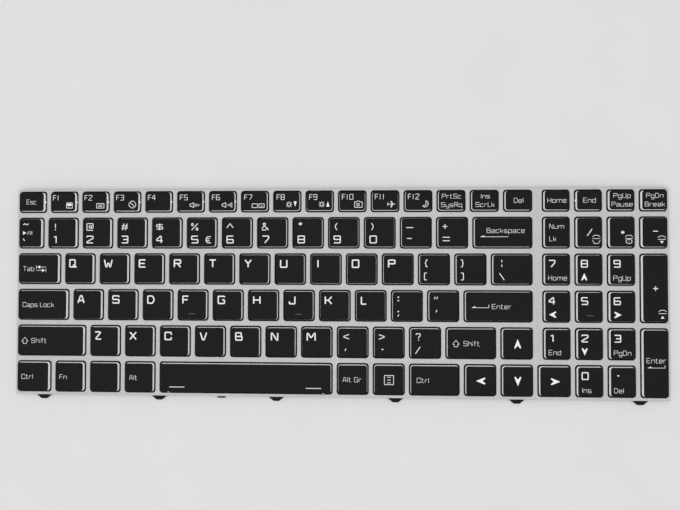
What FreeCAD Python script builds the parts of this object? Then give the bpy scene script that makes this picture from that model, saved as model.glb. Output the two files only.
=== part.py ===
import FreeCAD, Part
import math
import os

# Full-size laptop keyboard module with a number pad, lying on its back film.
# Origin at the centre of the underside, +X to the right, +Y towards the function row, +Z up. Millimetres.

# Key field, measured between the window edges of the frame
KEY_PITCH = 18.75           # letter keys along a row
ROW_PITCH = 19.05           # letter rows, front to back
PAD_PITCH = 16.35           # number pad columns
WEB_X = 2.3                 # frame left standing between two windows of a row
WEB_Y = 2.6                 # frame left standing between two rows
FIRST_WINDOW = 13.6         # window of the first key of the digit row
LAST_WINDOW = 30.6          # window of the last key of the digit row
FUNCTION_DEPTH = 11.4       # window of the function row, front to back
BLOCK_STRIP = 5.0           # frame between the main block and the number pad
SIDE_MARGIN = 1.25          # frame outside the first and last windows
REAR_MARGIN = 1.15
FRONT_MARGIN = 1.6

# Heights of the stack
FILM = 0.15
LIGHT_GUIDE = 0.45
PLATE = 0.4
MEMBRANE = 0.3
TRAVEL = 1.5                # stroke of a key
STOP_CLEARANCE = 0.5        # skirt to membrane at the end of the stroke
CAP_HEIGHT = 2.5
KEYS_PROUD = 1.6            # key tops above the frame
LATTICE = 1.0               # thickness of the frame between the windows

# Keycaps
KEY_GAP_X = 0.3             # skirt to window, each side
KEY_GAP_Y = 0.35
DRAFT = 0.55                # each wall leans in by this much from skirt to top
CORNER = 1.0                # corner cut of a cap
CAP_WALL = 0.9
CAP_ROOF = 1.0

# Frame
RIM = 0.9                   # wall round the frame's edge, standing on the plate
RIB = 1.2                   # ribs below the lattice, standing on the membrane
TONGUE_WIDTH = 5.0          # tongues of the rim, let into notches of the plate
TONGUE_CLEARANCE = 0.15
TONGUES_PER_SIDE = 5
TONGUE_SHARE = 1 / 3        # of the way from one hook to the next

# Support plate
HOOKS = 6
HOOK_END = 13.8             # plate's end to the middle of the first hook
HOOK_ROOT = 9.8
HOOK_TIP = 3.0
HOOK_REACH = 2.85
LUG_WIDTH = 4.0             # locating lug left of the space bar's middle
LUG_REACH = 1.5
LUG_X = -60.8
TAIL_SLOT_WIDTH = 34.0      # way out for the membrane's ribbon tail
TAIL_SLOT_DEPTH = 3.0
TAIL_SLOT_X = 46.0
TAIL_SLOT_Y = 12.0

# Sheets
MEMBRANE_CLEARANCE = 0.3    # membrane's edge to the frame's rim
SHEET_INSET = 1.5           # light guide and film, inside the plate's edge

# Key mechanism
DOME_BASE = 6.0
DOME_TOP = 3.2
DOME_SIDES = 6
LINK_LENGTH = 10.4
LINK_WIDTH = 11.0
LINK_ARM = 0.9
LINK_THICKNESS = 0.8
LINK_CLEARANCE = 0.2        # between the arms of the two links
SEAT_CLEARANCE = 0.1        # mechanism to the cap's roof, and links to the membrane
PAIR_SPACING = 46.0         # a key this wide, or wider, has a second pair of links

# Levels
plate_bottom = FILM + LIGHT_GUIDE
plate_top = plate_bottom + PLATE
membrane_top = plate_top + MEMBRANE
cap_bottom = membrane_top + STOP_CLEARANCE + TRAVEL
cap_top = cap_bottom + CAP_HEIGHT
roof = cap_top - CAP_ROOF
frame_top = cap_top - KEYS_PROUD
lattice_bottom = frame_top - LATTICE

# Plan of the key field
DIGITS = 12
LETTER_ROWS = 5
FUNCTION_KEYS = 16
PAD_COLUMNS = 4
letter_window = KEY_PITCH - WEB_X
row_window = ROW_PITCH - WEB_Y
pad_window = PAD_PITCH - WEB_X
main_width = FIRST_WINDOW + WEB_X + DIGITS * KEY_PITCH + LAST_WINDOW
pad_width = PAD_COLUMNS * PAD_PITCH - WEB_X
frame_width = 2 * SIDE_MARGIN + main_width + BLOCK_STRIP + pad_width
frame_depth = REAR_MARGIN + FUNCTION_DEPTH + LETTER_ROWS * ROW_PITCH + FRONT_MARGIN
main_left = -frame_width / 2 + SIDE_MARGIN
main_right = main_left + main_width
pad_left = main_right + BLOCK_STRIP
function_rear = frame_depth / 2 - REAR_MARGIN
function_front = function_rear - FUNCTION_DEPTH
row_rear = [function_front - WEB_Y - i * ROW_PITCH for i in range(LETTER_ROWS)]
row_front = [rear - row_window for rear in row_rear]

# Windows as (left, right, front, rear), by key
def staggered_row(row, shift, keys, right):
    """Windows of a row: the first fills the left end, the rest follow by span, the last ends at right."""
    starts = [main_left, main_left + FIRST_WINDOW + WEB_X + shift * KEY_PITCH]
    for _, span in keys[1:-1]:
        starts.append(starts[-1] + span * KEY_PITCH)
    ends = [start - WEB_X for start in starts[1:]] + [right]
    return {
        key: (start, end, row_front[row], row_rear[row])
        for (key, _), start, end in zip(keys, starts, ends)
    }


def single_keys(names):
    return [(name, 1) for name in names.split()]


arrow_left = main_right - letter_window
moving = {}
moving.update(staggered_row(
    1, 0.5, single_keys("tab q w e r t y u i o p left_bracket right_bracket backslash"), main_right))
moving.update(staggered_row(
    2, 0.75, single_keys("caps_lock a s d f g h j k l semicolon apostrophe enter"), main_right))
moving.update(staggered_row(
    3, 1.25, single_keys("left_shift z x c v b n m comma period slash right_shift"), arrow_left - WEB_X))
moving.update(staggered_row(
    4, 0.25,
    single_keys("left_control function system left_alt")
    + [("space", 5)]
    + single_keys("right_alt menu right_control"),
    arrow_left - KEY_PITCH - WEB_X))
moving["up_arrow"] = (arrow_left, main_right, row_front[3], row_rear[3])
moving["left_arrow"] = (arrow_left - KEY_PITCH, arrow_left - WEB_X, row_front[4], row_rear[4])
moving["down_arrow"] = (arrow_left, main_right, row_front[4], row_rear[4])
moving["right_arrow"] = (main_right + WEB_X, pad_left + pad_window, row_front[4], row_rear[4])

function_pitch = (main_width + WEB_X) / FUNCTION_KEYS
function_lefts = [main_left + i * function_pitch for i in range(FUNCTION_KEYS)]
upper_rows = [
    (left, left + function_pitch - WEB_X, function_front, function_rear)
    for left in function_lefts
]
upper_rows += staggered_row(0, 0, [(i, 1) for i in range(DIGITS + 2)], main_right).values()


def pad_key(column, rear, front):
    left = pad_left + column * PAD_PITCH
    return (left, left + pad_window, front, rear)


number_pad = [pad_key(c, function_rear, function_front) for c in range(PAD_COLUMNS)]
number_pad += [pad_key(c, row_rear[0], row_front[0]) for c in range(PAD_COLUMNS)]
number_pad += [pad_key(c, row_rear[r], row_front[r]) for r in (1, 2, 3) for c in (0, 1, 2)]
number_pad += [pad_key(c, row_rear[4], row_front[4]) for c in (1, 2)]
number_pad += [pad_key(PAD_COLUMNS - 1, row_rear[r], row_front[r + 1]) for r in (1, 3)]


# Shapes
def rectangle(left, right, front, rear):
    return [(left, front), (right, front), (right, rear), (left, rear)]


def cut_rectangle(left, right, front, rear, cut):
    """Rectangle with a flat across each corner."""
    return [
        (left + cut, front), (right - cut, front), (right, front + cut), (right, rear - cut),
        (right - cut, rear), (left + cut, rear), (left, rear - cut), (left, front + cut),
    ]


def polygon(sides, across):
    step = 2 * math.pi / sides
    return [(across / 2 * math.cos(i * step), across / 2 * math.sin(i * step)) for i in range(sides)]


def wire(outline, z):
    points = [FreeCAD.Vector(x, y, z) for x, y in outline]
    return Part.makePolygon(points + points[:1])


def prism(outline, z0, z1, holes=()):
    face = Part.makeFace([wire(loop, z0) for loop in (outline, *holes)], "Part::FaceMakerBullseye")
    return face.extrude(FreeCAD.Vector(0, 0, z1 - z0))


def tapered(lower, upper, z0, z1):
    """Solid between two outlines whose sides are parallel."""
    low = [FreeCAD.Vector(x, y, z0) for x, y in lower]
    high = [FreeCAD.Vector(x, y, z1) for x, y in upper]
    rings = [low[::-1], high]
    for i in range(len(low)):
        rings.append([low[i - 1], low[i], high[i], high[i - 1]])
    faces = [Part.Face(Part.makePolygon(ring + ring[:1])) for ring in rings]
    return Part.Solid(Part.Shell(faces))


def middle(window):
    left, right, front, rear = window
    return FreeCAD.Vector((left + right) / 2, (front + rear) / 2, 0)


def moved(shape, offset):
    copy = shape.copy()
    copy.translate(offset)
    return copy


# Keycaps: hollow, with leaning walls
def cap_shell(width, depth):
    """Cap over the origin, for a window of this size."""
    half_x = width / 2 - KEY_GAP_X
    half_y = depth / 2 - KEY_GAP_Y
    roof_lean = DRAFT * (roof - cap_bottom) / CAP_HEIGHT

    def around(inset):
        return (inset - half_x, half_x - inset, inset - half_y, half_y - inset)

    outside = tapered(
        cut_rectangle(*around(0), CORNER), cut_rectangle(*around(DRAFT), CORNER), cap_bottom, cap_top)
    inside = tapered(
        rectangle(*around(CAP_WALL)), rectangle(*around(CAP_WALL + roof_lean)), cap_bottom, roof)
    return outside.cut(inside)


def resting_cap(width, depth):
    """Cap fused with the square foot that carries it on the membrane."""
    foot = tapered(
        rectangle(-DOME_BASE / 2, DOME_BASE / 2, -DOME_BASE / 2, DOME_BASE / 2),
        rectangle(-DOME_TOP / 2, DOME_TOP / 2, -DOME_TOP / 2, DOME_TOP / 2),
        membrane_top, roof)
    return cap_shell(width, depth).fuse(foot).removeSplitter()


def placed_caps(windows, make_cap):
    """One cap in each window; caps of a size share one shape."""
    made = {}
    caps = []
    for window in windows:
        left, right, front, rear = window
        size = (round(right - left, 6), round(rear - front, 6))
        if size not in made:
            made[size] = make_cap(*size)
        caps.append(moved(made[size], middle(window)))
    return caps


# Rubber domes below the moving keys
def dome():
    return tapered(
        polygon(DOME_SIDES, DOME_BASE), polygon(DOME_SIDES, DOME_TOP), membrane_top, roof - SEAT_CLEARANCE)


# Crossed links that keep a key level: two forks, one inside the other, leaning opposite ways
def fork(width, towards_rear):
    """Fork whose cross bar lies on the membrane and whose arms rise to the cap's roof."""
    half = width / 2
    inner = half - LINK_ARM
    reach = LINK_LENGTH / 2
    bar = LINK_ARM - reach
    outline = [
        (-half, -reach), (half, -reach), (half, reach), (inner, reach),
        (inner, bar), (-inner, bar), (-inner, reach), (-half, reach),
    ]
    flat = prism(outline, -LINK_THICKNESS / 2, LINK_THICKNESS / 2)
    low = membrane_top + SEAT_CLEARANCE
    rise = roof - SEAT_CLEARANCE - low
    # the leaning fork is LINK_LENGTH sin(lean) + LINK_THICKNESS cos(lean) tall
    diagonal = math.hypot(LINK_LENGTH, LINK_THICKNESS)
    lean = math.asin(rise / diagonal) - math.atan2(LINK_THICKNESS, LINK_LENGTH)
    flat.rotate(FreeCAD.Vector(), FreeCAD.Vector(1, 0, 0), math.degrees(lean))
    if towards_rear:
        flat.rotate(FreeCAD.Vector(), FreeCAD.Vector(0, 0, 1), 180)
    flat.translate(FreeCAD.Vector(0, 0, low + rise / 2))
    return flat


def link_places(window):
    """Middle of the key, or two places along a wide one."""
    width = window[1] - window[0]
    if width < PAIR_SPACING:
        return [middle(window)]
    side = FreeCAD.Vector(PAIR_SPACING / 2, 0, 0)
    return [middle(window) - side, middle(window) + side]


# Frame: lattice with a window for each key, a rim and ribs below it
frame_box = (-frame_width / 2, frame_width / 2, -frame_depth / 2, frame_depth / 2)


def tongue_places():
    """Middles of the tongues, one between each two hooks, off the middle so that they clear the lug."""
    step = (frame_width - 2 * HOOK_END) / TONGUES_PER_SIDE
    return [HOOK_END - frame_width / 2 + (i + TONGUE_SHARE) * step for i in range(TONGUES_PER_SIDE)]


def inset(box, by):
    left, right, front, rear = box
    return (left + by, right - by, front + by, rear - by)


def bezel_frame():
    windows = list(moving.values()) + upper_rows + number_pad
    frame = prism(rectangle(*frame_box), lattice_bottom, frame_top, [rectangle(*w) for w in windows])
    rim = prism(rectangle(*frame_box), plate_top, lattice_bottom, [rectangle(*inset(frame_box, RIM))])
    strip = main_right + BLOCK_STRIP / 2
    webs = [rear + WEB_Y / 2 for rear in row_rear]
    ribs = [rectangle(frame_box[0] + RIM, strip, y - RIB / 2, y + RIB / 2) for y in webs]
    ribs.append(rectangle(strip - RIB / 2, strip + RIB / 2, webs[-1] - RIB / 2, frame_box[3] - RIM))
    below = [prism(rib, membrane_top, lattice_bottom) for rib in ribs]
    half = TONGUE_WIDTH / 2
    for x in tongue_places():
        for edge, inward in ((frame_box[2], 1), (frame_box[3], -1)):
            front, rear = sorted((edge, edge + inward * RIM))
            below.append(prism(rectangle(x - half, x + half, front, rear), plate_bottom, lattice_bottom))
    return frame.fuse([rim] + below).removeSplitter()


# Support plate: steel sheet with the front hooks, the locating lug and notches for the frame's tongues
def tail_slot():
    half_x = TAIL_SLOT_WIDTH / 2
    half_y = TAIL_SLOT_DEPTH / 2
    return rectangle(
        TAIL_SLOT_X - half_x, TAIL_SLOT_X + half_x, TAIL_SLOT_Y - half_y, TAIL_SLOT_Y + half_y)


def support_plate():
    left, right, front, rear = frame_box
    half = TONGUE_WIDTH / 2 + TONGUE_CLEARANCE
    notch = RIM + TONGUE_CLEARANCE
    features = []
    hook_step = (frame_width - 2 * HOOK_END) / (HOOKS - 1)
    for i in range(HOOKS):
        x = left + HOOK_END + i * hook_step
        features.append([
            (x - HOOK_ROOT / 2, front), (x - HOOK_TIP / 2, front - HOOK_REACH),
            (x + HOOK_TIP / 2, front - HOOK_REACH), (x + HOOK_ROOT / 2, front),
        ])
    features.append([
        (LUG_X - LUG_WIDTH / 2, front), (LUG_X - LUG_WIDTH / 2, front - LUG_REACH),
        (LUG_X + LUG_WIDTH / 2, front - LUG_REACH), (LUG_X + LUG_WIDTH / 2, front),
    ])
    for x in tongue_places():
        features.append([
            (x - half, front), (x - half, front + notch),
            (x + half, front + notch), (x + half, front),
        ])
    front_edge = [point for feature in sorted(features) for point in feature]
    rear_edge = []
    for x in reversed(tongue_places()):
        rear_edge += [
            (x + half, rear), (x + half, rear - notch),
            (x - half, rear - notch), (x - half, rear),
        ]
    outline = [(left, front)] + front_edge + [(right, front), (right, rear)] + rear_edge + [(left, rear)]
    return prism(outline, plate_bottom, plate_top, [tail_slot()])


# The sheets above and below the plate
def membrane():
    return prism(rectangle(*inset(frame_box, RIM + MEMBRANE_CLEARANCE)), plate_top, membrane_top)


def light_guide():
    return prism(rectangle(*inset(frame_box, SHEET_INSET)), FILM, plate_bottom, [tail_slot()])


def back_film():
    return prism(rectangle(*inset(frame_box, SHEET_INSET)), 0, FILM, [tail_slot()])


# One file for each piece, or each group of like pieces
pieces = {
    "bezel_frame": bezel_frame(),
    "support_plate": support_plate(),
    "membrane": membrane(),
    "light_guide": light_guide(),
    "back_film": back_film(),
    "upper_row_keys": Part.makeCompound(placed_caps(upper_rows, resting_cap)),
    "number_pad_keys": Part.makeCompound(placed_caps(number_pad, resting_cap)),
}
for name, cap in zip(moving, placed_caps(moving.values(), cap_shell)):
    pieces["key_" + name] = cap
one_dome = dome()
pieces["rubber_domes"] = Part.makeCompound([moved(one_dome, middle(w)) for w in moving.values()])
inner_width = LINK_WIDTH - 2 * (LINK_ARM + LINK_CLEARANCE)
pair = [fork(LINK_WIDTH, False), fork(inner_width, True)]
places = [place for window in moving.values() for place in link_places(window)]
pieces["scissor_links"] = Part.makeCompound([moved(link, place) for place in places for link in pair])

os.makedirs("parts", exist_ok=True)
for name, shape in pieces.items():
    shape.exportStep(os.path.join("parts", name + ".step"))
print("keyboard %.1f x %.1f x %.1f mm, %d files" % (frame_width, frame_depth, cap_top, len(pieces)))
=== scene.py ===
import math

import bmesh
import bpy
from mathutils import Matrix, Vector


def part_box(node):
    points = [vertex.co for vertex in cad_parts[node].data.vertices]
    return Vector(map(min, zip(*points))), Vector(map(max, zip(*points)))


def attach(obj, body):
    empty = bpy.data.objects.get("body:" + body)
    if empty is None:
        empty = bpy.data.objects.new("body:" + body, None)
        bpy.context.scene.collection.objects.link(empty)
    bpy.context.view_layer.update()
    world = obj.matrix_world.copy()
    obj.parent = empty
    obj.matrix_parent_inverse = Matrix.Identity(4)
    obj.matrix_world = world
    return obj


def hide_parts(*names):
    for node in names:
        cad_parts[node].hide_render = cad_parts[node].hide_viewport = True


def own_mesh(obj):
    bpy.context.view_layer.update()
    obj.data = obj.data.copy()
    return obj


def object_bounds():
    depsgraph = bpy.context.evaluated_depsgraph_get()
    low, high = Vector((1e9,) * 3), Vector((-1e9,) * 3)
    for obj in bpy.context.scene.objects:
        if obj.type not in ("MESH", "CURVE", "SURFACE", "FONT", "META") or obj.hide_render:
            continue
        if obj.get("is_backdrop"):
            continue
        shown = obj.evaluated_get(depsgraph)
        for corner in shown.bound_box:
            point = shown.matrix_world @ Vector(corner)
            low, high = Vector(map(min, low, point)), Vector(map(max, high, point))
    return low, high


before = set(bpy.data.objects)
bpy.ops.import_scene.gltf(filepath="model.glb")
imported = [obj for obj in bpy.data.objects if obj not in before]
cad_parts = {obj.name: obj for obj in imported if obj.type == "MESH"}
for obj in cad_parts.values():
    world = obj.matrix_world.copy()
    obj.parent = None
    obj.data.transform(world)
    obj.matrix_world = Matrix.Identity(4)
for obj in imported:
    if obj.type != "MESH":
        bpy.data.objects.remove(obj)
cad_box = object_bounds()


# Back film
# A thin black polyester sheet that closes the underside and keeps the backlight's light in.
# It is die-cut from a roll with a satin face, and held by a line of adhesive round its edge.
MM = 0.001


def paint(red, green, blue):
    """A colour written in the usual 0 to 255 steps, as the shaders take it."""
    def linear(step):
        share = step / 255
        return share / 12.92 if share <= 0.04045 else ((share + 0.055) / 1.055) ** 2.4
    return (linear(red), linear(green), linear(blue), 1.0)


class Socket:
    """A socket of a node tree: arithmetic on it adds Math nodes, and node() adds any other node."""

    def __init__(self, tree, socket=None):
        self.tree = tree
        self.socket = socket

    def node(self, kind, settings=(), values=(), output=0):
        made = self.tree.nodes.new(kind)
        for name, setting in dict(settings).items():
            setattr(made, name, setting)
        for name, value in dict(values).items():
            if isinstance(value, Socket):
                self.tree.links.new(value.socket, made.inputs[name])
            else:
                made.inputs[name].default_value = value
        return Socket(self.tree, made.outputs[output])

    def other(self, output):
        """Another output of the node that this socket is on."""
        return Socket(self.tree, self.socket.node.outputs[output])

    def into(self, node, name):
        self.tree.links.new(self.socket, node.inputs[name])

    def maths(self, operation, *operands):
        return self.node("ShaderNodeMath", {"operation": operation}, enumerate(operands))

    def __add__(self, other):
        return self.maths("ADD", self, other)

    def __sub__(self, other):
        return self.maths("SUBTRACT", self, other)

    def __rsub__(self, other):
        return self.maths("SUBTRACT", other, self)

    def __mul__(self, other):
        return self.maths("MULTIPLY", self, other)

    def __lt__(self, other):
        return self.maths("LESS_THAN", self, other)

    def __gt__(self, other):
        return self.maths("GREATER_THAN", self, other)

    __radd__ = __add__
    __rmul__ = __mul__

    def tint(self, dark, light):
        """The colour between two that this value picks."""
        return self.node("ShaderNodeMix", {"data_type": "RGBA"}, {0: self, 6: dark, 7: light}, output=2)


def new_finish(name, constants):
    """A material with its constants set, its shader, and the piece's own coordinates."""
    material = bpy.data.materials.new(name)
    material.use_nodes = True
    shader = material.node_tree.nodes["Principled BSDF"]
    for socket, value in constants.items():
        shader.inputs[socket].default_value = value
    place = Socket(material.node_tree).node("ShaderNodeTexCoord", output="Object")
    return material, shader, place


def grain(place, scale, detail=2.0):
    """Fine noise from 0 to 1, as moulded, sprayed and rolled surfaces have."""
    return place.node("ShaderNodeTexNoise", values={"Vector": place, "Scale": scale, "Detail": detail})


def emboss(height, shader, depth):
    """Relief of this depth on the surface."""
    relief = height.node("ShaderNodeBump", values={"Distance": depth, "Height": height})
    relief.into(shader, "Normal")


def dress(node, material):
    """Gives a solid that keeps its own shape its finish."""
    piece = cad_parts[node]
    piece.data.materials.clear()
    piece.data.materials.append(material)


satin_film, shader, place = new_finish("satin black film", {"Specular IOR Level": 0.4})
mottle = grain(place, scale=60, detail=4)
weave = grain(place, scale=2600)
mottle.tint(paint(16, 16, 18), paint(26, 26, 28)).into(shader, "Base Color")
(0.42 + 0.16 * weave).into(shader, "Roughness")
emboss(weave, shader, depth=0.012 * MM)
dress("back_film", satin_film)


# Light guide
# A clear plastic sheet that carries the backlight under all the keys from a strip at its edge.
# Small printed dots on it scatter the light upwards, and it is laid loose between film and plate.
clear_sheet, shader, place = new_finish("printed light guide", {"IOR": 1.49, "Coat Weight": 0.4})
DOT_PITCH = 1.1 * MM
DOT_SHARE = 0.3             # a dot's radius, as a share of the pitch
dots = place.node(
    "ShaderNodeTexVoronoi", {"voronoi_dimensions": "2D"},
    {"Vector": place, "Scale": 1 / DOT_PITCH, "Randomness": 0.0})
dot = dots < DOT_SHARE
dot.tint(paint(188, 196, 198), paint(244, 246, 246)).into(shader, "Base Color")
(0.12 + 0.5 * dot).into(shader, "Roughness")
emboss(dot, shader, depth=0.01 * MM)
dress("light_guide", clear_sheet)


# Support plate
# The base that everything is fixed to: pressed steel sheet with a black coat, stamped in one blow.
# Six tapered hooks and a small lug on its front edge go under the machine's top case.
PLATE_EDGE = 0.06 * MM
SAME_PLACE = 0.001 * MM
FLAT_ANGLE = math.radians(0.5)


def merged_copy(node):
    """A node's mesh with its loose triangles joined and its flat faces made whole."""
    work = bmesh.new()
    work.from_mesh(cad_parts[node].data)
    bmesh.ops.remove_doubles(work, verts=work.verts, dist=SAME_PLACE)
    bmesh.ops.dissolve_limit(work, angle_limit=FLAT_ANGLE, verts=work.verts, edges=work.edges)
    mesh = bpy.data.meshes.new(node + "_copy")
    work.to_mesh(mesh)
    work.free()
    return mesh


def new_piece(name, mesh, *materials):
    """An object for a finished mesh, whose place is in the mesh."""
    mesh.name = name
    if materials:
        mesh.materials.clear()
    for material in materials:
        mesh.materials.append(material)
    piece = bpy.data.objects.new(name, mesh)
    bpy.context.scene.collection.objects.link(piece)
    return piece


black_coat, shader, place = new_finish("black coated steel", {"Specular IOR Level": 0.1})
peel = grain(place, scale=1400)
wear = grain(place, scale=180, detail=5)
wear.tint(paint(5, 5, 6), paint(12, 12, 13)).into(shader, "Base Color")
(0.3 + 0.2 * wear).into(shader, "Roughness")
emboss(peel, shader, depth=0.015 * MM)

support_plate = new_piece("steel_plate", merged_copy("support_plate"), black_coat)
edge = support_plate.modifiers.new("stamped edge", "BEVEL")
edge.width = PLATE_EDGE
edge.segments = 2
edge.limit_method = "ANGLE"
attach(support_plate, "base")
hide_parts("support_plate")


# Membrane
# Three polyester sheets laminated together, with a contact printed in silver ink under each key.
# Its upper face is painted near black as painted shade, which darkens the gaps round the keys, and the tracks
# below it show as faint ridges.
shaded_membrane_sheet, shader, place = new_finish("printed membrane in painted shade", {"Specular IOR Level": 0.3})
TRACK_PITCH = 1.6 * MM
TRACK_LEVEL = 0.72          # of the wave, above which a track lies
WAVE_LENGTH = 0.314         # of the texture's bands at a scale of 1
tracks = place.node(
    "ShaderNodeTexWave", {"bands_direction": "Y"},
    {"Vector": place, "Scale": WAVE_LENGTH / TRACK_PITCH, "Distortion": 3.0, "Detail": 1.0,
     "Detail Scale": 12.0})
track = tracks > TRACK_LEVEL
# The near-black base colour is painted shade for the gaps round the keys; the lighter tracks are print
track.tint(paint(17, 17, 19), paint(34, 34, 37)).into(shader, "Base Color")
(0.6 - 0.15 * track).into(shader, "Roughness")
emboss(track, shader, depth=0.02 * MM)
dress("membrane", shaded_membrane_sheet)


# Key mechanism
# Two crossed plastic forks keep a cap level, and a moulded silicone dome below it gives the return.
# Each set clips to the plate and the cap, and on the real board folds flat as its key goes down; here each
# set is fixed to the base in its rest shape.
def new_tree(name, **sizes):
    """A Geometry Nodes tree with named inputs: the tree, the geometry that it gets, its inputs by name."""
    tree = bpy.data.node_groups.new(name, "GeometryNodeTree")
    tree.interface.new_socket("Geometry", in_out="INPUT", socket_type="NodeSocketGeometry")
    for size, kind in sizes.items():
        tree.interface.new_socket(size, in_out="INPUT", socket_type="NodeSocket" + kind)
    tree.interface.new_socket("Geometry", in_out="OUTPUT", socket_type="NodeSocketGeometry")
    start = Socket(tree).node("NodeGroupInput")
    return tree, start, {size: start.other(size) for size in sizes}


def end_tree(geometry, material, *other_parts):
    """Ends a tree: instances made real, its material set, and that of each other part that is selected."""
    real = geometry.node("GeometryNodeRealizeInstances", values={"Geometry": geometry})
    for selection, finish in ((True, material), *other_parts):
        real = real.node(
            "GeometryNodeSetMaterial", values={"Geometry": real, "Selection": selection, "Material": finish})
    real.into(geometry.tree.nodes.new("NodeGroupOutput"), "Geometry")


def new_path(name, *splines):
    """A curve object of straight runs. Each spline is its points in metres, closed or not, and its radius."""
    curve = bpy.data.curves.new(name, "CURVE")
    curve.dimensions = "3D"
    for points, closed, radius in splines:
        spline = curve.splines.new("POLY")
        spline.points.add(len(points) - 1)
        for point, place in zip(spline.points, points):
            point.co = (*place, 0.0, 1.0)
            point.radius = radius
        spline.use_cyclic_u = closed
    path = bpy.data.objects.new(name, curve)
    bpy.context.scene.collection.objects.link(path)
    return path


def plain_run(points, closed=False):
    """A spline for new_path that needs no radius of its own."""
    return points, closed, 1.0


def run_tree(tree, path, **sizes):
    """The plain mesh that a tree makes from a path, which is used up."""
    modifier = path.modifiers.new("shape", "NODES")
    modifier.node_group = tree
    for item in tree.interface.items_tree:
        if item.in_out == "INPUT" and item.name in sizes:
            modifier[item.identifier] = sizes[item.name]
    evaluated = path.evaluated_get(bpy.context.evaluated_depsgraph_get())
    mesh = bpy.data.meshes.new_from_object(evaluated)
    path.modifiers.remove(modifier)
    bpy.data.objects.remove(path)
    return mesh


def joined(name, meshes):
    """One mesh of several, each face with the material that it had."""
    materials = []
    work = bmesh.new()
    for mesh in meshes:
        first = len(work.faces)
        work.from_mesh(mesh)
        work.faces.ensure_lookup_table()
        for face in work.faces[first:]:
            material = mesh.materials[face.material_index]
            if material not in materials:
                materials.append(material)
            face.material_index = materials.index(material)
    whole = bpy.data.meshes.new(name)
    work.to_mesh(whole)
    work.free()
    for material in materials:
        whole.materials.append(material)
    return whole


def swept(path, profile, caps=False, scale=1.0):
    """A profile swept along flat paths. Its X stands out to the right of the run, its Y goes down,
    and the solid lies on the left of an open profile."""
    upright = path.node("GeometryNodeSetCurveNormal", {"mode": "Z_UP"}, {"Curve": path})
    return path.node(
        "GeometryNodeCurveToMesh",
        values={"Curve": upright, "Profile Curve": profile, "Scale": scale, "Fill Caps": caps})


def rounded(path, radius, count):
    """The path with its corners rounded."""
    return path.node(
        "GeometryNodeFilletCurve", {"mode": "POLY"},
        {"Curve": path, "Count": count, "Radius": radius, "Limit Radius": True})


link_resin, shader, place = new_finish("natural link resin", {"IOR": 1.48})
flow = grain(place, scale=500, detail=3)
flow.tint(paint(206, 205, 198), paint(226, 226, 221)).into(shader, "Base Color")
(0.34 + 0.14 * flow).into(shader, "Roughness")
emboss(flow, shader, depth=0.01 * MM)

dome_silicone, shader, place = new_finish("milky silicone", {"IOR": 1.41})
cloud = grain(place, scale=350, detail=3)
cloud.tint(paint(198, 204, 206), paint(222, 226, 227)).into(shader, "Base Color")
(0.45 + 0.2 * cloud).into(shader, "Roughness")
emboss(cloud, shader, depth=0.008 * MM)

BEND_STEPS = 4
bar_tree, path, size = new_tree(
    "bar along a path", Width="Float", Height="Float", Corner="Float", Material="Material")
bar_profile = path.node(
    "GeometryNodeCurvePrimitiveQuadrilateral", values={"Width": size["Width"], "Height": size["Height"]})
end_tree(swept(rounded(path, size["Corner"], BEND_STEPS), bar_profile, caps=True), size["Material"])

DOME_SIDES = 20
lathe_tree, section, size = new_tree("turned section", Radius="Float", Material="Material")
circle = section.node(
    "GeometryNodeCurvePrimitiveCircle", values={"Resolution": DOME_SIDES, "Radius": size["Radius"]})
turned = swept(circle, section)
turned = turned.node("GeometryNodeMergeByDistance", values={"Geometry": turned, "Distance": SAME_PLACE})
turned = turned.node("GeometryNodeSetShadeSmooth", values={"Geometry": turned})
end_tree(turned, size["Material"])

MECHANISM_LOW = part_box("rubber_domes")[0].z
MECHANISM_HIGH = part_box("rubber_domes")[1].z
LINK_LENGTH = 10.4 * MM
LINK_WIDTH = 11.0 * MM
LINK_ARM = 0.9 * MM
LINK_THICKNESS = 0.8 * MM
LINK_CORNER = 0.7 * LINK_ARM
LINK_CLEARANCE = 0.2 * MM
LINK_ROOM = 0.8             # share of a cap's depth that its links may take
DOME_RADIUS = 3.0 * MM
DOME_TOP_RADIUS = 1.6 * MM
DOME_FLANGE = 0.25 * MM
PAIR_SPACING = 46.0 * MM


def fork(width, towards_rear):
    """A link: a cross bar on the membrane and two arms that rise to the cap."""
    side = (width - LINK_ARM) / 2
    reach = (LINK_LENGTH - LINK_ARM) / 2
    path = new_path("fork", plain_run([(-side, reach), (-side, -reach), (side, -reach), (side, reach)]))
    mesh = run_tree(
        bar_tree, path, Width=LINK_ARM, Height=LINK_THICKNESS, Corner=LINK_CORNER, Material=link_resin)
    low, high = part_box("scissor_links")[0].z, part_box("scissor_links")[1].z
    diagonal = math.hypot(LINK_LENGTH, LINK_THICKNESS)
    lean = math.asin((high - low) / diagonal) - math.atan2(LINK_THICKNESS, LINK_LENGTH)
    mesh.transform(Matrix.Rotation(lean, 4, "X"))
    if towards_rear:
        mesh.transform(Matrix.Rotation(math.pi, 4, "Z"))
    mesh.transform(Matrix.Translation((0, 0, (low + high) / 2)))
    return mesh


def dome():
    """A silicone dome: a plunger on top, then a sloping skirt down to a flange. Each outline is in shares
    of that part's radius and height."""
    rise = MECHANISM_HIGH - MECHANISM_LOW
    plunger = [(0, 1), (0.9, 1), (1, 0.97), (1, 0.84), (1.12, 0.78)]
    flange = [(0.9, 1.6), (1, 1), (1, 0), (0, 0)]
    section = [(DOME_TOP_RADIUS * out, rise * up) for out, up in plunger]
    section += [(DOME_RADIUS * out, DOME_FLANGE * up) for out, up in flange]
    path = new_path("dome", plain_run([(out - DOME_RADIUS, -up) for out, up in section]))
    mesh = run_tree(lathe_tree, path, Radius=DOME_RADIUS, Material=dome_silicone)
    mesh.transform(Matrix.Translation((0, 0, MECHANISM_LOW)))
    return mesh


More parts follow.
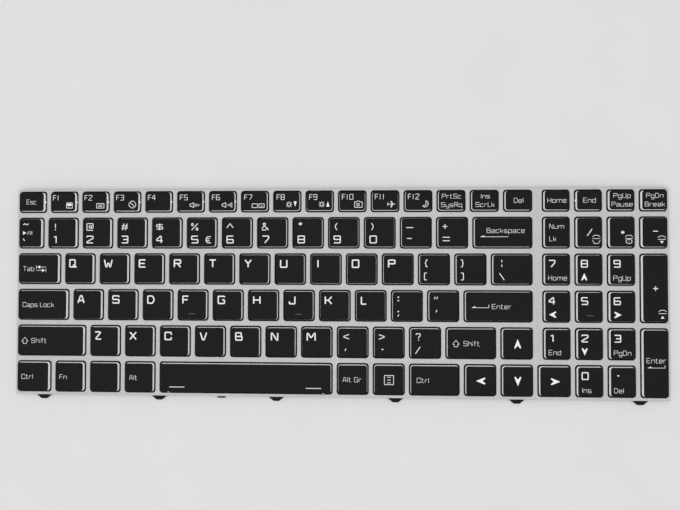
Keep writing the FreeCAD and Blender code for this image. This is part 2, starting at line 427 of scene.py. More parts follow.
inner_width = LINK_WIDTH - 2 * (LINK_ARM + LINK_CLEARANCE)
links = joined("links", [fork(LINK_WIDTH, False), fork(inner_width, True)])
one_dome = dome()


def mechanism(low, high):
    """The dome and links below a cap that fills this box; a wide cap has two pairs of links."""
    middle = (low + high) / 2
    shifts = [0.0] if high.x - low.x < PAIR_SPACING else [-PAIR_SPACING / 2, PAIR_SPACING / 2]
    room = LINK_ROOM * (high.y - low.y) / LINK_LENGTH
    fit = Matrix.Diagonal((1, min(1, room), 1, 1))
    meshes = []
    for part, places in ((links, shifts), (one_dome, [0.0])):
        for shift in places:
            copy = part.copy()
            copy.transform(Matrix.Translation((middle.x + shift, middle.y, 0)) @ fit)
            meshes.append(copy)
    return meshes


def solid_boxes(node):
    """Boxes of a node's separate solids, row by row from the rear, each row from the left."""
    work = bmesh.new()
    work.from_mesh(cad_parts[node].data)
    bmesh.ops.remove_doubles(work, verts=work.verts, dist=SAME_PLACE)
    left = set(work.verts)
    boxes = []
    while left:
        reached = [left.pop()]
        for vert in reached:
            for edge in vert.link_edges:
                other = edge.other_vert(vert)
                if other in left:
                    left.remove(other)
                    reached.append(other)
        low = Vector(min(v.co[i] for v in reached) for i in range(3))
        high = Vector(max(v.co[i] for v in reached) for i in range(3))
        boxes.append((low, high))
    work.free()
    return sorted(boxes, key=lambda box: (-round(box[1].y, 4), box[0].x))


moving_boxes = {node.removeprefix("key_"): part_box(node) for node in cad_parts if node.startswith("key_")}
for key, box in moving_boxes.items():
    set_below = new_piece("mechanism_" + key, joined("mechanism", mechanism(*box)))
    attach(set_below, "base")
    "press_" + key
    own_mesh(set_below)
    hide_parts("rubber_domes", "scissor_links")

fixed_boxes = {"upper_row": solid_boxes("upper_row_keys"), "number_pad": solid_boxes("number_pad_keys")}
for group, boxes in fixed_boxes.items():
    meshes = [mesh for box in boxes for mesh in mechanism(*box)]
    set_below = new_piece(group + "_mechanism", joined("mechanism", meshes))
    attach(set_below, "base")
    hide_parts(group + "_keys")


# Silver frame
# One plastic moulding with a rounded window for each key, sprayed with silver paint that holds fine flakes.
# A rim and ribs below it stand on the plate and the membrane, and tongues of the rim lock into the plate.
WINDOW_GAP = 0.42 * MM
WINDOW_CORNER = 1.9 * MM
WINDOW_STEPS = 7
OUTER_CORNER = 0.15 * MM
OUTER_EDGE = 0.7 * MM
FRAME_EDGE = 0.2 * MM
LATTICE = 1.0 * MM
WEB = 2.46 * MM
RIM = 0.9 * MM
RIM_CORNER = 0.5 * MM
RIM_SETBACK = 0.02 * MM
RIB = 1.2 * MM
TONGUE = 5.0 * MM
TONGUES_PER_SIDE = 5
TONGUE_SHARE = 1 / 3
HOOK_END = 13.8 * MM
EDGE_STEPS = 4
SEAM_GAP = 0.002 * MM

silver_paint, shader, place = new_finish("silver flake paint", {"Specular IOR Level": 0.4, "Metallic": 0.1})
flakes = place.node("ShaderNodeTexVoronoi", values={"Vector": place, "Scale": 3200.0})
flake = flakes.other("Color").node("ShaderNodeSeparateColor", values={"Color": flakes.other("Color")})
haze = grain(place, scale=45, detail=4)
speckle = 0.7 * flake + 0.3 * haze
speckle.tint(paint(168, 168, 170), paint(196, 196, 197)).into(shader, "Base Color")
(0.5 + 0.16 * flake).into(shader, "Roughness")
emboss(grain(place, scale=2400), shader, depth=0.012 * MM)

frame_tree, outline, size = new_tree(
    "frame lattice", OuterEdge="Object", WindowEdge="Object", Top="Float", Bottom="Float",
    Material="Material")
corner = outline.node("GeometryNodeInputRadius")
outline = rounded(outline, corner, WINDOW_STEPS)
# The outer outline has far sharper corners than the windows
outer = outline.node(
    "GeometryNodeSeparateGeometry", {"domain": "CURVE"},
    {"Geometry": outline, "Selection": corner < 2 * OUTER_CORNER})
windows = outer.other("Inverted")
face = outline.node("GeometryNodeFillCurve", {"mode": "TRIANGLES"}, {"Curve": outline})


def edged(outline, section):
    """The walls of outlines, swept with the section that an object holds."""
    profile = section.node("GeometryNodeObjectInfo", values={"Object": section}, output="Geometry")
    return swept(outline, profile)


def lifted(geometry, height):
    """Geometry moved up by the value of a socket."""
    offset = height.node("ShaderNodeCombineXYZ", values={"Z": height})
    return geometry.node("GeometryNodeSetPosition", values={"Geometry": geometry, "Offset": offset})


def together(*parts):
    """Several geometries as one, with the vertices that they share merged."""
    whole = parts[0].node("GeometryNodeJoinGeometry")
    for part in parts:
        part.into(whole.socket.node, "Geometry")
    return whole.node("GeometryNodeMergeByDistance", values={"Geometry": whole, "Distance": SEAM_GAP})


under = face.node("GeometryNodeFlipFaces", values={"Mesh": face})
lattice = together(
    lifted(edged(outer, size["OuterEdge"]), size["Top"]),
    lifted(edged(windows, size["WindowEdge"]), size["Top"]),
    lifted(face, size["Top"]), lifted(under, size["Bottom"]))
end_tree(lattice, size["Material"])


def rectangle(low, high):
    """Corners of a rectangle, anticlockwise seen from above."""
    return [(low.x, low.y), (high.x, low.y), (high.x, high.y), (low.x, high.y)]


def all_round(width):
    """The same width to the right and to the rear."""
    return Vector((width, width, 0))


def rounded_edge(upper, lower):
    """Section of the lattice's edge from its lower flat, round, up and round to its upper flat.
    X points inwards from the end of the upper flat, and the two radii may differ."""
    arc = [math.pi / 2 * i / EDGE_STEPS for i in range(EDGE_STEPS + 1)]
    above = [(-upper * math.sin(a), upper * (1 - math.cos(a))) for a in arc]
    below = [(lower - upper - lower * math.sin(a), LATTICE - lower * (1 - math.cos(a))) for a in arc]
    flat = [(0, LATTICE)] if upper > lower else []
    return flat + below + above[::-1]


frame_low, frame_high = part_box("bezel_frame")
window_gap = all_round(WINDOW_GAP + FRAME_EDGE)
key_boxes = list(moving_boxes.values()) + fixed_boxes["upper_row"] + fixed_boxes["number_pad"]
inset = all_round(OUTER_EDGE)
splines = [(rectangle(frame_low + inset, frame_high - inset)[::-1], True, OUTER_CORNER)]
for low, high in key_boxes:
    splines.append((rectangle(low - window_gap, high + window_gap), True, WINDOW_CORNER))
outer_section = new_path("outer edge", plain_run(rounded_edge(OUTER_EDGE, FRAME_EDGE)))
window_section = new_path("window edge", plain_run(rounded_edge(FRAME_EDGE, FRAME_EDGE)))
lattice_mesh = run_tree(
    frame_tree, new_path("frame outline", *splines), OuterEdge=outer_section, WindowEdge=window_section,
    Top=frame_high.z, Bottom=frame_high.z - LATTICE, Material=silver_paint)
bpy.data.objects.remove(outer_section)
bpy.data.objects.remove(window_section)


def upright_bars(splines, width, low, high):
    """Walls of this width along straight runs, between two heights."""
    mesh = run_tree(
        bar_tree, new_path("walls", *splines), Width=width, Height=high - low, Corner=RIM_CORNER,
        Material=silver_paint)
    mesh.transform(Matrix.Translation((0, 0, (low + high) / 2)))
    return mesh


plate_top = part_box("support_plate")[1].z
membrane_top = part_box("membrane")[1].z
lattice_low = frame_high.z - LATTICE
rim_line = all_round(RIM / 2 + RIM_SETBACK)
rim_low, rim_high = frame_low + rim_line, frame_high - rim_line
rim_run = plain_run(rectangle(rim_low, rim_high), closed=True)
rim = upright_bars([rim_run], RIM, plate_top, frame_high.z - OUTER_EDGE)

row_rears = [fixed_boxes["upper_row"][-1][1].y]
row_rears += [moving_boxes[key][1].y for key in ("tab", "caps_lock", "left_shift", "left_control")]
webs = [rear + WINDOW_GAP + WEB / 2 for rear in row_rears]
strip = (moving_boxes["backslash"][1].x + fixed_boxes["number_pad"][0][0].x) / 2
rib_runs = [plain_run([(rim_low.x, y), (strip, y)]) for y in webs]
rib_runs.append(plain_run([(strip, webs[-1]), (strip, rim_high.y)]))
ribs = upright_bars(rib_runs, RIB, membrane_top, lattice_low + FRAME_EDGE)

tongue_step = (frame_high.x - frame_low.x - 2 * HOOK_END) / TONGUES_PER_SIDE
tongue_runs = []
for i in range(TONGUES_PER_SIDE):
    x = frame_low.x + HOOK_END + (i + TONGUE_SHARE) * tongue_step
    for y in (rim_low.y, rim_high.y):
        tongue_runs.append(plain_run([(x - TONGUE / 2, y), (x + TONGUE / 2, y)]))
tongues = upright_bars(tongue_runs, RIM, frame_low.z, lattice_low)

silver_frame = new_piece("silver_frame", joined("frame", [lattice_mesh, rim, ribs, tongues]))
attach(silver_frame, "base")
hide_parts("bezel_frame")


# Keycaps
# Hollow caps moulded in milky plastic: the walls are left bare and the top is sprayed matt black; the black
# band at the foot of the wall is painted shade, for the dark gap round each cap.
# The legends are lasered through the black coat down to the pale plastic; each cap clips on its links.
CAP_TOP_INSET = 0.56 * MM
CAP_DRAFT = 0.32 * MM
CAP_CORNER = 1.5 * MM
CAP_CORNER_STEPS = 8
CAP_WALL = 0.7 * MM
CAP_ROOF = 1.0 * MM
CAP_EDGE = 0.2 * MM
# Height of the black band at the foot of each cap's wall, which is painted shade for the dark gap round the
# cap
SHADED_FOOT = 0.8 * MM
COAT_CLEARANCE = 0.03 * MM
CREASE_ANGLE = 0.6          # radians
SOLID_RELIEF = 0.03 * MM
STROKE_RELIEF = 0.05        # share of a stroke's width
STROKE_CORNER = 0.55        # share of a stroke's width
STROKE_CORNER_STEPS = 3
STROKE_RISE = 0.001 * MM    # of each stroke over the one before

milky_plastic, shader, place = new_finish("milky cap plastic", {"IOR": 1.5})
flow = grain(place, scale=420, detail=3)
flow.tint(paint(246, 246, 246), paint(253, 253, 252)).into(shader, "Base Color")
(0.3 + 0.12 * flow).into(shader, "Roughness")
emboss(flow, shader, depth=0.006 * MM)

# Matt black for the tops; the same material is also painted shade on the foot of each cap's wall
coat_and_foot_shade, shader, place = new_finish("matt black coat and foot shade", {"Specular IOR Level": 0.13})
spray = grain(place, scale=3400)
touch = grain(place, scale=110, detail=4)
touch.tint(paint(9, 10, 13), paint(15, 16, 19)).into(shader, "Base Color")
(0.5 + 0.18 * spray).into(shader, "Roughness")
emboss(spray, shader, depth=0.014 * MM)

lasered_mark, shader, place = new_finish("lasered legend", {"Specular IOR Level": 0.3})
burn = grain(place, scale=1500)
burn.tint(paint(222, 223, 224), paint(240, 240, 240)).into(shader, "Base Color")
(0.45 + 0.2 * burn).into(shader, "Roughness")

cap_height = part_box("key_q")[1].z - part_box("key_q")[0].z - COAT_CLEARANCE
roof_height = cap_height - CAP_ROOF
coat_line = cap_height - CAP_EDGE
wall_lean = CAP_DRAFT / cap_height


def cap_section():
    """Section of a cap's wall as (out, up): rounded upper edge, outer wall, skirt, inner wall and ceiling."""
    shoulder = -wall_lean * coat_line
    arc = [math.pi / 2 * i / EDGE_STEPS for i in range(EDGE_STEPS, -1, -1)]
    edge = [(shoulder - CAP_EDGE * (1 - math.cos(a)), coat_line + CAP_EDGE * math.sin(a)) for a in arc]
    ceiling = (-CAP_WALL - wall_lean * roof_height, roof_height)
    return edge + [(-wall_lean * SHADED_FOOT, SHADED_FOOT), (0, 0), (-CAP_WALL, 0), ceiling]


cap_tree, skirt, size = new_tree("keycap", Section="Object", Plastic="Material", Coat="Material")
wall_section = skirt.node("GeometryNodeObjectInfo", values={"Object": size["Section"]}, output="Geometry")
walls = swept(rounded(skirt, CAP_CORNER, CAP_CORNER_STEPS), wall_section)
spot = skirt.node("GeometryNodeInputPosition")
level = spot.node("ShaderNodeSeparateXYZ", values={"Vector": spot}, output="Z")
faces_beside = skirt.node("GeometryNodeInputMeshEdgeNeighbors")
open_edge = faces_beside < 2
NEAR = 0.01 * MM


def filled_ring(selection):
    """A flat face at height 0, across the ring of edges that are selected."""
    ring = walls.node("GeometryNodeMeshToCurve", values={"Mesh": walls, "Selection": selection})
    return ring.node("GeometryNodeFillCurve", {"mode": "NGONS"}, {"Curve": ring})


def raised(geometry, height):
    """Geometry moved up by a number."""
    shift = (0, 0, height)
    return geometry.node("GeometryNodeTransform", values={"Geometry": geometry, "Translation": shift})


top_face = raised(filled_ring(open_edge * (level > cap_height - NEAR)), cap_height)
ceiling_face = filled_ring(open_edge * (level < cap_height - NEAR))
ceiling_face = ceiling_face.node("GeometryNodeFlipFaces", values={"Mesh": ceiling_face})
cap = together(walls, top_face, raised(ceiling_face, roof_height))
cap = cap.node("GeometryNodeSetShadeSmooth", {"domain": "FACE"}, {"Geometry": cap, "Shade Smooth": True})
bend = cap.node("GeometryNodeInputMeshEdgeAngle")
crease = (bend > CREASE_ANGLE) + (level > cap_height - NEAR)
cap = cap.node(
    "GeometryNodeSetShadeSmooth", {"domain": "EDGE"},
    {"Geometry": cap, "Selection": crease, "Shade Smooth": False})
# Black above coat_line is the real top coat; black below the foot height is painted shade, where the gap
# round the cap lies in shadow
end_tree(cap, size["Plastic"], ((level > coat_line) + (level < SHADED_FOOT), size["Coat"]))

mark_tree, strokes, size = new_tree("lasered marks", Material="Material")
stroke = strokes.node("GeometryNodeInputRadius")
lines = strokes.node(
    "GeometryNodeSeparateGeometry", {"domain": "CURVE"}, {"Geometry": strokes, "Selection": stroke > 0.0})
nib = strokes.node("GeometryNodeCurvePrimitiveQuadrilateral", values={"Width": 1.0, "Height": STROKE_RELIEF})
number = strokes.node("GeometryNodeCurveOfPoint")
stacked = lifted(lines, STROKE_RISE * number)
bent = rounded(stacked, STROKE_CORNER * stroke, STROKE_CORNER_STEPS)
drawn = swept(bent, nib, caps=True, scale=stroke)
solid = lines.node("GeometryNodeFillCurve", {"mode": "NGONS"}, {"Curve": lines.other("Inverted")})
solid_foot = solid.node("GeometryNodeFlipFaces", values={"Mesh": solid})
solid = solid.node("GeometryNodeExtrudeMesh", values={"Mesh": solid, "Offset Scale": SOLID_RELIEF})
solid = raised(together(solid, solid_foot), -SOLID_RELIEF / 2)
end_tree(raised(together(drawn, solid), cap_height), size["Material"])

# A mark is strokes, and a stroke is points on a grid: a digit of base 36 for x, then one for y.
# A stroke that ends in ring is closed, one that ends in solid is filled, and blank only takes up room.
# Each stroke lies a hair above the one before, so what crosses itself is drawn as two strokes.
GRID_BASE = 36
BASE_LINE = 2
CAPITAL_LINE = 8
LETTER_GAP = 3
LETTERS = {
    "A": "02 38 58 82, 14 74", "B": "75 78 08 02 62, 42 82 85 05", "C": "86 88 08 02 82 84",
    "D": "02 08 68 86 84 62 ring", "E": "88 08 02 82, 05 75", "F": "78 08 02, 05 65",
    "G": "87 88 08 02 82 85 55", "H": "02 08, 82 88, 05 85", "I": "22 28", "J": "04 02 72 78",
    "K": "02 08, 88 45 82, 05 45", "L": "08 02 62", "M": "02 08 18 54 98 a8 a2", "N": "02 08 18 72 82 88",
    "O": "02 08 88 82 ring", "P": "02 08 88 85 45, 55 05", "Q": "02 08 78 72 ring, 54 52 92",
    "R": "02 08 88 85 45, 55 05, 45 82", "S": "87 88 08 05 85 82 02 03", "T": "08 88, 48 42",
    "U": "08 02 82 88", "V": "08 32 52 88", "W": "08 22 32 57 72 82 a8", "X": "02 88, 08 82",
    "Y": "08 45 88, 45 42", "Z": "08 88 02 82",
    "0": "02 08 88 82 ring", "1": "27 58 52", "2": "07 08 88 86 03 02 82", "3": "08 88 82 02, 25 85",
    "4": "62 68 58 05 04 34, 24 84", "5": "88 08 05 85 82 02", "6": "88 08 02 82 85 45, 55 05",
    "7": "08 88 86 32", "8": "02 08 88 82 ring, 05 85", "9": "02 82 88 08 05 45, 35 85",
    "¹": "22 28, 50 blank",
    "a": "06 76 72 02 04 44, 34 74", "b": "08 02 72 76 36, 46 06", "c": "76 06 02 72",
    "d": "78 72 02 06 46, 36 76", "e": "72 02 06 76 74 34, 44 04", "f": "58 28 22, 06 56",
    "g": "00 70 76 06 02 42, 32 72", "h": "02 08, 06 76 72", "i": "02 05, 07 08",
    "k": "02 08, 66 34 62, 04 34", "l": "02 08", "m": "02 06 c6 c2, 66 62", "n": "02 06 76 72",
    "o": "02 06 76 72 ring", "p": "00 06 76 72 32, 42 02", "q": "70 76 06 02 42, 32 72", "r": "02 06 56",
    "s": "76 06 04 74 72 02", "t": "18 12 52, 06 46", "u": "06 02 72 76", "y": "06 02 72, 76 70 00",
    "!": "44 48, 42 43", "@": "82 02 08 88 84 34 36 56, 46 66 64", "#": "12 38, 52 78, 04 84, 06 86",
    "$": "87 07 05 85 83 03, 48 42", "%": "02 88, 06 08 28 26 ring, 62 64 84 82 ring", "^": "04 48 84",
    "&": "82 17 18 38, 28 48 47 04 02 42 74", "*": "36 39, 17 58, 18 57", "(": "48 26 24 42",
    ")": "28 46 44 22", "_": "04 94", "-": "16 76", "+": "05 65, 33 37", "=": "04 94, 07 97",
    "{": "48 28 26 15 24 22 42", "}": "08 28 26 35 24 22 02", "[": "38 08 02 32", "]": "08 38 32 02",
    "|": "56 58, 52 54", "\\": "28 82", ":": "17 18, 27 28, 14 15, 24 25", ";": "16 17, 26 27, 24 12",
    "'": "36 48", '"': "16 28, 46 58", "<": "87 05 83", ">": "07 85 03", ",": "46 34", ".": "45 46, 55 56",
    "?": "17 18 68 66 45 44, 42 43", "/": "02 68", "~": "07 28 57 78", "`": "06 24",
    "€": "88 38 16 14 32 82, 06 66, 04 64", " ": "00 20 blank",
}
SPEAKER = "02 05 25 57 50 22 ring"
LIGHT = "08 2a 6a 88, 06 86"
SUN = "32 23 25 36 56 65 63 52 ring, 47 48, 40 41, 04 14, 74 84, 11 22, 66 77, 17 26, 71 62"
ICONS = {
    "touchpad": "00 07 87 80 ring, 13 16 76 73 solid, 32 30",
    "keyboard": "00 06 a6 a0 ring, 22 82, 24 84", "mute": "30 03 06 39 69 96 93 60 ring, 27 72, 54 55",
    "quiet": SPEAKER + ", 71 76, 92 95, b2 b5, d3 d4", "loud": SPEAKER + ", 73 74, 92 95, b1 b6, d0 d7",
    "screens": "00 05 75 70 ring, 90 95 g5 g0 ring, b2 e2",
    "dimmer": SUN + ", a8 e8 c1 solid", "brighter": SUN + ", a1 e1 c8 solid",
    "camera": "00 07 27 38 68 77 a7 a0 ring, 32 35 65 62 ring",
    "plane": "05 a5, 49 65 41, 59 75 51, 07 15 03",
    "sleep": "49 77 84 61 30 02 32 54 57 ring", "play": "00 08 64 solid, 80 a8, d0 d8, g0 g8",
    "light_mode": LIGHT + ", 04 20 60 84", "light_level": LIGHT + ", 30 11 14 35 55 74 71 50 ring, 42 43",
    "light_down": LIGHT + ", 24 64 41 solid", "light_up": LIGHT + ", 20 60 43 solid",
    "star": "36 39, 17 58, 18 57", "return_arrow": "04 46 44 solid, 04 k4 k8, 03 blank",
    "back_arrow": "04 46 44 solid, 04 t4", "shift_arrow": "04 49 84 64 61 21 24 ring",
    "tab_arrows": "05 09, 17 49 45 solid, 47 a7, a1 a5, 93 65 61 solid, 03 63",
    "menu": "00 0a aa a0 ring, 32 72, 35 75, 38 78",
    "up": "01 49 81 70 43 10 solid", "down": "08 40 88 79 46 19 solid",
    "left": "80 04 88 97 64 91 solid", "right": "10 94 18 07 34 01 solid", "line": "00 80",
}

# Each style: the grid's step across and up, the stroke's width, which corner or middle of the top it is
# set from (0 for left or front, 1 for right or rear), and how far in from there. Lengths in millimetres.
STYLES = {
    "letter": ((0.41, 0.63), 0.7, (0, 1), (2.15, 2.2)),
    "digit": ((0.409, 0.595), 0.57, (0, 0), (2.0, 1.7)),
    "sign": ((0.41, 0.588), 0.42, (0, 1), (2.0, 2.2)),
    "low sign": ((0.41, 0.588), 0.42, (0, 0), (2.0, 1.7)),
    "middle sign": ((0.41, 0.588), 0.42, (0.5, 0.5), (0, 0)),
    "euro": ((0.365, 0.54), 0.4, (1, 0), (2.0, 1.8)),
    "function": ((0.215, 0.44), 0.27, (0, 1), (1.2, 1.2)),
    "icon": ((0.4, 0.4), 0.3, (1, 0), (1.2, 1.3)),
    "word": ((0.22, 0.393), 0.19, (0, 0.5), (2.2, 0)),
    "far right word": ((0.22, 0.393), 0.19, (0, 0.5), (2.9, 0)),
    "narrow word": ((0.207, 0.393), 0.19, (0, 0.5), (2.4, 0)),
    "middle word": ((0.22, 0.393), 0.19, (0.5, 0.5), (0, 0)),
    "escape word": ((0.185, 0.393), 0.19, (0.5, 0.5), (0, 0)),
    "upper word": ((0.216, 0.37), 0.19, (0.5, 1), (0, 1.3)),
    "lower word": ((0.216, 0.37), 0.19, (0.5, 0), (0, 1.5)),
    "high word": ((0.22, 0.393), 0.19, (0, 1), (6.0, 5.0)),
    "low icon": ((0.49, 0.34), 0.24, (0, 0), (2.7, 5.0)),
    "tab icon": ((0.52, 0.44), 0.23, (0, 0.5), (9.5, 0)),
    "enter icon": ((0.43, 0.4), 0.24, (0, 0.5), (2.9, 0)),
    "far word": ((0.22, 0.393), 0.19, (0, 0.5), (13.2, 0)),
    "left shift icon": ((0.45, 0.41), 0.24, (0, 0.5), (1.9, 0)),
    "left shift word": ((0.217, 0.393), 0.19, (0, 0.5), (7.4, 0)),
    "right shift icon": ((0.45, 0.41), 0.24, (0, 0.5), (2.3, 0)),
    "right shift word": ((0.217, 0.393), 0.19, (0, 0.5), (8.1, 0)),
    "play icon": ((0.3, 0.24), 0.25, (0, 0.5), (2.0, 0)),
    "menu icon": ((0.47, 0.47), 0.31, (0.5, 0.5), (0, 0)),
    "left line": ((1.0, 1.0), 0.37, (0, 0), (4.8, 2.4)),
    "right line": ((1.0, 1.0), 0.37, (1, 0), (4.8, 2.4)),
    "arrow": ((0.43, 0.54), 0.0, (0.5, 0.5), (0, 0)),
    "side arrow": ((0.54, 0.44), 0.0, (0.5, 0.5), (0, 0)),
    "pad digit": ((0.375, 0.57), 0.58, (0, 1), (1.6, 2.3)),
    "pad word": ((0.216, 0.393), 0.19, (0, 0), (1.5, 1.8)),
    "pad upper word": ((0.22, 0.393), 0.19, (0, 1), (2.2, 2.9)),
    "pad lower word": ((0.22, 0.393), 0.19, (0, 0), (2.2, 2.8)),
    "pad arrow": ((0.37, 0.43), 0.0, (0, 0), (1.8, 1.7)),
    "pad side arrow": ((0.41, 0.41), 0.0, (0, 0), (1.8, 1.7)),
    "light icon": ((0.48, 0.42), 0.25, (1, 0), (0.8, 1.5)),
    "tall word": ((0.216, 0.393), 0.19, (0.5, 1), (0, 14.0)),
    "tall icon": ((0.43, 0.36), 0.22, (0.5, 1), (0, 17.4)),
}


def read_mark(code):
    """Strokes of a mark: how each ends, and its points on the grid."""
    strokes = []
    for stroke in code.split(","):
        points = stroke.split()
        ending = points.pop() if points[-1] in ("ring", "solid", "blank") else "open"
        strokes.append((ending, [(int(x, GRID_BASE), int(y, GRID_BASE)) for x, y in points]))
    return strokes


def set_mark(style, mark, half):
    """Splines of a mark in its place on a top of this half size, in millimetres."""
    (step_x, step_y), width, (side_x, side_y), (inset_x, inset_y) = STYLES[style]
    strokes, pen = [], 0
    for code in [ICONS[mark]] if mark in ICONS else [LETTERS[letter] for letter in mark]:
        read = read_mark(code)
        strokes += [(ending, [(x + pen, y) for x, y in points]) for ending, points in read]
        pen += max(x for _, points in read for x, _ in points) + LETTER_GAP
    low, high = BASE_LINE, CAPITAL_LINE
    if mark in ICONS:
        levels = [y for _, points in strokes for _, y in points]
        low, high = min(levels), max(levels)
    room_x = (pen - LETTER_GAP) * step_x + width
    room_y = (high - low) * step_y + width
    left = (2 * side_x - 1) * (half.x / MM - inset_x) - side_x * room_x + width / 2
    front = (2 * side_y - 1) * (half.y / MM - inset_y) - side_y * room_y + width / 2
    splines = []
    for ending, points in strokes:
        placed = [((left + x * step_x) * MM, (front + (y - low) * step_y) * MM) for x, y in points]
        if ending != "blank":
            splines.append((placed, ending != "open", 0.0 if ending == "solid" else width * MM))
    return splines


LEGENDS = {letter: [("letter", letter.upper())] for letter in "qwertyuiopasdfghjklzxcvbnm"}
for sign, digit in zip("!@#$%^&*()", "1234567890"):
    LEGENDS[digit] = [("sign", sign), ("digit", digit)]
for key, upper, lower in (
    ("hyphen", "_", "-"), ("equals", "+", "="), ("left_bracket", "{", "["), ("right_bracket", "}", "]"),
    ("backslash", "|", "\\"), ("semicolon", ":", ";"), ("apostrophe", '"', "'"), ("comma", "<", ","),
    ("period", ">", "."), ("slash", "?", "/"),
):
    LEGENDS[key] = [("sign", upper), ("low sign", lower)]
FUNCTION_ICONS = {
    1: "touchpad", 2: "keyboard", 3: "mute", 5: "quiet", 6: "loud", 7: "screens", 8: "dimmer", 9: "brighter",
    10: "camera", 11: "plane", 12: "sleep",
}
for number in range(1, 13):
    key = "f%d" % number
    LEGENDS[key] = [("function", ("F%d" % number).replace("1", "¹"))]
    if number in FUNCTION_ICONS:
        LEGENDS[key].append(("icon", FUNCTION_ICONS[number]))
LEGENDS["5"].append(("euro", "€"))
LEGENDS.update({
    "escape": [("escape word", "Esc")], "print": [("upper word", "PrtSc"), ("lower word", "SysRq")],
    "insert": [("upper word", "Ins"), ("lower word", "ScrLk")], "delete": [("middle word", "Del")],
    "grave": [("sign", "~"), ("play icon", "play"), ("low sign", "`")],
    "backspace": [("high word", "Backspace"), ("low icon", "back_arrow")],
    "tab": [("narrow word", "Tab"), ("tab icon", "tab_arrows")], "caps_lock": [("narrow word", "Caps Lock")],
    "enter": [("enter icon", "return_arrow"), ("far word", "Enter")],
    "left_shift": [("left shift icon", "shift_arrow"), ("left shift word", "Shift")],
    "right_shift": [("right shift icon", "shift_arrow"), ("right shift word", "Shift")],
    "left_control": [("word", "Ctrl")], "function": [("word", "Fn")], "left_alt": [("word", "Alt")],
    "space": [("left line", "line"), ("right line", "line")], "right_alt": [("word", "Alt Gr")],
    "menu": [("menu icon", "menu")], "right_control": [("far right word", "Ctrl")],
    "up_arrow": [("arrow", "up")], "down_arrow": [("arrow", "down")],
    "left_arrow": [("side arrow", "left")], "right_arrow": [("side arrow", "right")],
    "home": [("middle word", "Home")], "end": [("middle word", "End")],
    "page_up": [("upper word", "PgUp"), ("lower word", "Pause")],
    "page_down": [("upper word", "PgDn"), ("lower word", "Break")],
    "num_lock": [("pad upper word", "Num"), ("pad lower word", "Lk")],
    "divide": [("middle sign", "/"), ("light icon", "light_mode")],
    "multiply": [("middle sign", "star"), ("light icon", "light_level")],
    "minus": [("middle sign", "-"), ("light icon", "light_down")],
    "plus": [("middle sign", "+"), ("light icon", "light_up")],
    "pad_enter": [("tall word", "Enter"), ("tall icon", "return_arrow")],
    "pad_7": [("pad digit", "7"), ("pad word", "Home")], "pad_8": [("pad digit", "8"), ("pad arrow", "up")],
    "pad_9": [("pad digit", "9"), ("pad word", "PgUp")], "pad_5": [("pad digit", "5")],
    "pad_4": [("pad digit", "4"), ("pad side arrow", "left")],
    "pad_6": [("pad digit", "6"), ("pad side arrow", "right")],
    "pad_1": [("pad digit", "1"), ("pad word", "End")], "pad_2": [("pad digit", "2"), ("pad arrow", "down")],
    "pad_3": [("pad digit", "3"), ("pad word", "PgDn")], "pad_0": [("pad digit", "0"), ("pad word", "Ins")],
    "pad_decimal": [("pad digit", "."), ("pad word", "Del")],
})
section_path = new_path("cap section", plain_run([(out, -up) for out, up in cap_section()]))

# The homing bars are a lighter grey than the black tops
lighter_bar_coat, shader, place = new_finish("lighter homing bar", {"Specular IOR Level": 0.3})
bar_tone = grain(place, scale=900, detail=3)
bar_tone.tint(paint(44, 44, 46), paint(92, 92, 94)).into(shader, "Base Color")
(0.4 + 0.15 * bar_tone).into(shader, "Roughness")

HOMING = ("f", "j", "pad_5")
BAR_LENGTH = 3.6 * MM
BAR_WIDTH = 0.45 * MM
BAR_HEIGHT = 0.05 * MM
BAR_FROM_FRONT = 3.2 * MM
GATE_DEPTH = 0.3 * MM
GATE_WIDTH = 0.9 * MM
GATE_LEVEL = 0.8 * MM
GATE_FROM_END = 4.2 * MM
SIDE_GATES = {"escape": 1, "f1": 1, "f2": 1, "f3": 1, "f4": 1, "f5": 1, "f6": 1, "end": -1}


def short_bar(start, end, width, height, level, material):
    """A straight bar in a cap, whose middle is at this level."""
    path = new_path("short bar", plain_run([start, end]))
    mesh = run_tree(bar_tree, path, Width=width, Height=height, Corner=0.0, Material=material)
    mesh.transform(Matrix.Translation((0, 0, level)))
    return mesh


def gate_stubs(key, half):
    """Stubs on a wall where the cap was cut from its runner: one on a side, two on the space bar's front."""
    wall = half - wall_lean * GATE_LEVEL * Vector((1, 1))
    runs = []
    if key in SIDE_GATES:
        side = SIDE_GATES[key]
        runs.append(((side * (wall.x - CAP_WALL / 2), 0), (side * (wall.x + GATE_DEPTH), 0)))
    if key == "space":
        for x in (GATE_FROM_END - wall.x, wall.x - GATE_FROM_END):
            runs.append(((x, CAP_WALL / 2 - wall.y), (x, -wall.y - GATE_DEPTH)))
    return [short_bar(*run, GATE_WIDTH, GATE_WIDTH, GATE_LEVEL, milky_plastic) for run in runs]


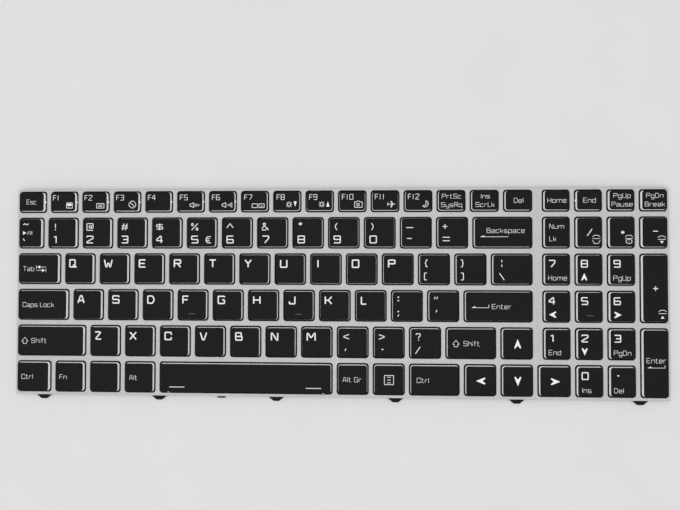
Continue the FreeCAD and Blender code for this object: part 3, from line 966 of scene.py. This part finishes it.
def keycap(key, low, high):
    """The cap of a key in its place, with its legends, homing bar and gate stubs."""
    middle = (low + high) / 2
    top = (high.xy - low.xy) / 2 - CAP_TOP_INSET * Vector((1, 1))
    foot = top + CAP_DRAFT * Vector((1, 1))
    outline = new_path("skirt", plain_run(rectangle(-foot, foot), closed=True))
    parts = [run_tree(cap_tree, outline, Section=section_path, Plastic=milky_plastic, Coat=coat_and_foot_shade)]
    splines = [spline for style, mark in LEGENDS.get(key, []) for spline in set_mark(style, mark, top)]
    if splines:
        parts.append(run_tree(mark_tree, new_path("legend", *splines), Material=lasered_mark))
    if key in HOMING:
        y = BAR_FROM_FRONT - foot.y
        bar = (-BAR_LENGTH / 2, y), (BAR_LENGTH / 2, y)
        parts.append(short_bar(*bar, BAR_WIDTH, BAR_HEIGHT, cap_height, lighter_bar_coat))
    mesh = joined("keycap", parts + gate_stubs(key, foot))
    mesh.transform(Matrix.Translation((middle.x, middle.y, high.z - COAT_CLEARANCE - cap_height)))
    return mesh


for key, (low, high) in moving_boxes.items():
    cap_piece = new_piece("keycap_" + key, keycap(key, low, high))
    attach(cap_piece, "key_" + key)
    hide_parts("key_" + key)

FIXED_KEYS = {
    "upper_row": "escape f1 f2 f3 f4 f5 f6 f7 f8 f9 f10 f11 f12 print insert delete "
    "grave 1 2 3 4 5 6 7 8 9 0 hyphen equals backspace",
    "number_pad": "home end page_up page_down num_lock divide multiply minus pad_7 pad_8 pad_9 plus "
    "pad_4 pad_5 pad_6 pad_1 pad_2 pad_3 pad_enter pad_0 pad_decimal",
}
for group, names in FIXED_KEYS.items():
    meshes = [keycap(key, *box) for key, box in zip(names.split(), fixed_boxes[group])]
    cap_piece = new_piece(group + "_keycaps", joined("caps", meshes))
    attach(cap_piece, "base")
    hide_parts(group + "_keys")
bpy.data.objects.remove(section_path)


# Floor, light and camera
# A pale sheet below, a wide soft lamp nearly straight above, and even light all round.
# The camera stands over the middle of the keys and looks almost straight down.
FLOOR_REACH = 3.0
floor_mesh = bpy.data.meshes.new("floor")
work = bmesh.new()
bmesh.ops.create_grid(work, x_segments=2, y_segments=2, size=FLOOR_REACH)
work.to_mesh(floor_mesh)
work.free()
pale_sheet, shader, place = new_finish("pale floor", {"Roughness": 0.7, "Specular IOR Level": 0.2})
grain(place, scale=30, detail=3).tint(paint(211, 210, 209), paint(216, 215, 214)).into(shader, "Base Color")
new_piece("floor", floor_mesh, pale_sheet)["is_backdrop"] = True

LAMP_SIZE = 1.6
LAMP_PLACE = Vector((-0.1, -0.05, 1.3))
LAMP_POWER = 8.0
lamp = bpy.data.lights.new("soft lamp", "AREA")
lamp.size = LAMP_SIZE
lamp.energy = LAMP_POWER
lamp_object = bpy.data.objects.new("soft lamp", lamp)
lamp_object.location = LAMP_PLACE
lamp_object.rotation_euler = (-LAMP_PLACE).to_track_quat("-Z", "Y").to_euler()
bpy.context.scene.collection.objects.link(lamp_object)

SKY_LEVEL = 0.8
world = bpy.data.worlds.new("even light")
world.use_nodes = True
world.node_tree.nodes["Background"].inputs["Color"].default_value = (1.0, 1.0, 1.0, 1.0)
world.node_tree.nodes["Background"].inputs["Strength"].default_value = SKY_LEVEL
bpy.context.scene.world = world

FOCAL_PIXELS = 510.3
IMAGE_WIDTH = 680
SENSOR = 36.0
CAMERA_PLACE = (12.57 * MM, 15.04 * MM, 271.05 * MM)
CAMERA_TURN = (1.0, 2.198, 0.04)    # degrees
camera_data = bpy.data.cameras.new("camera")
camera_data.sensor_width = SENSOR
camera_data.lens = SENSOR * FOCAL_PIXELS / IMAGE_WIDTH
camera_data.clip_start = 0.01
camera = bpy.data.objects.new("camera", camera_data)
camera.location = CAMERA_PLACE
camera.rotation_mode = "ZYX"
camera.rotation_euler = [math.radians(turn) for turn in CAMERA_TURN]
bpy.context.scene.collection.objects.link(camera)
bpy.context.scene.camera = camera
bpy.context.scene.view_settings.view_transform = "Standard"

boxes = {"cad": [list(corner) for corner in cad_box], "visual": [list(corner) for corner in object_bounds()]}
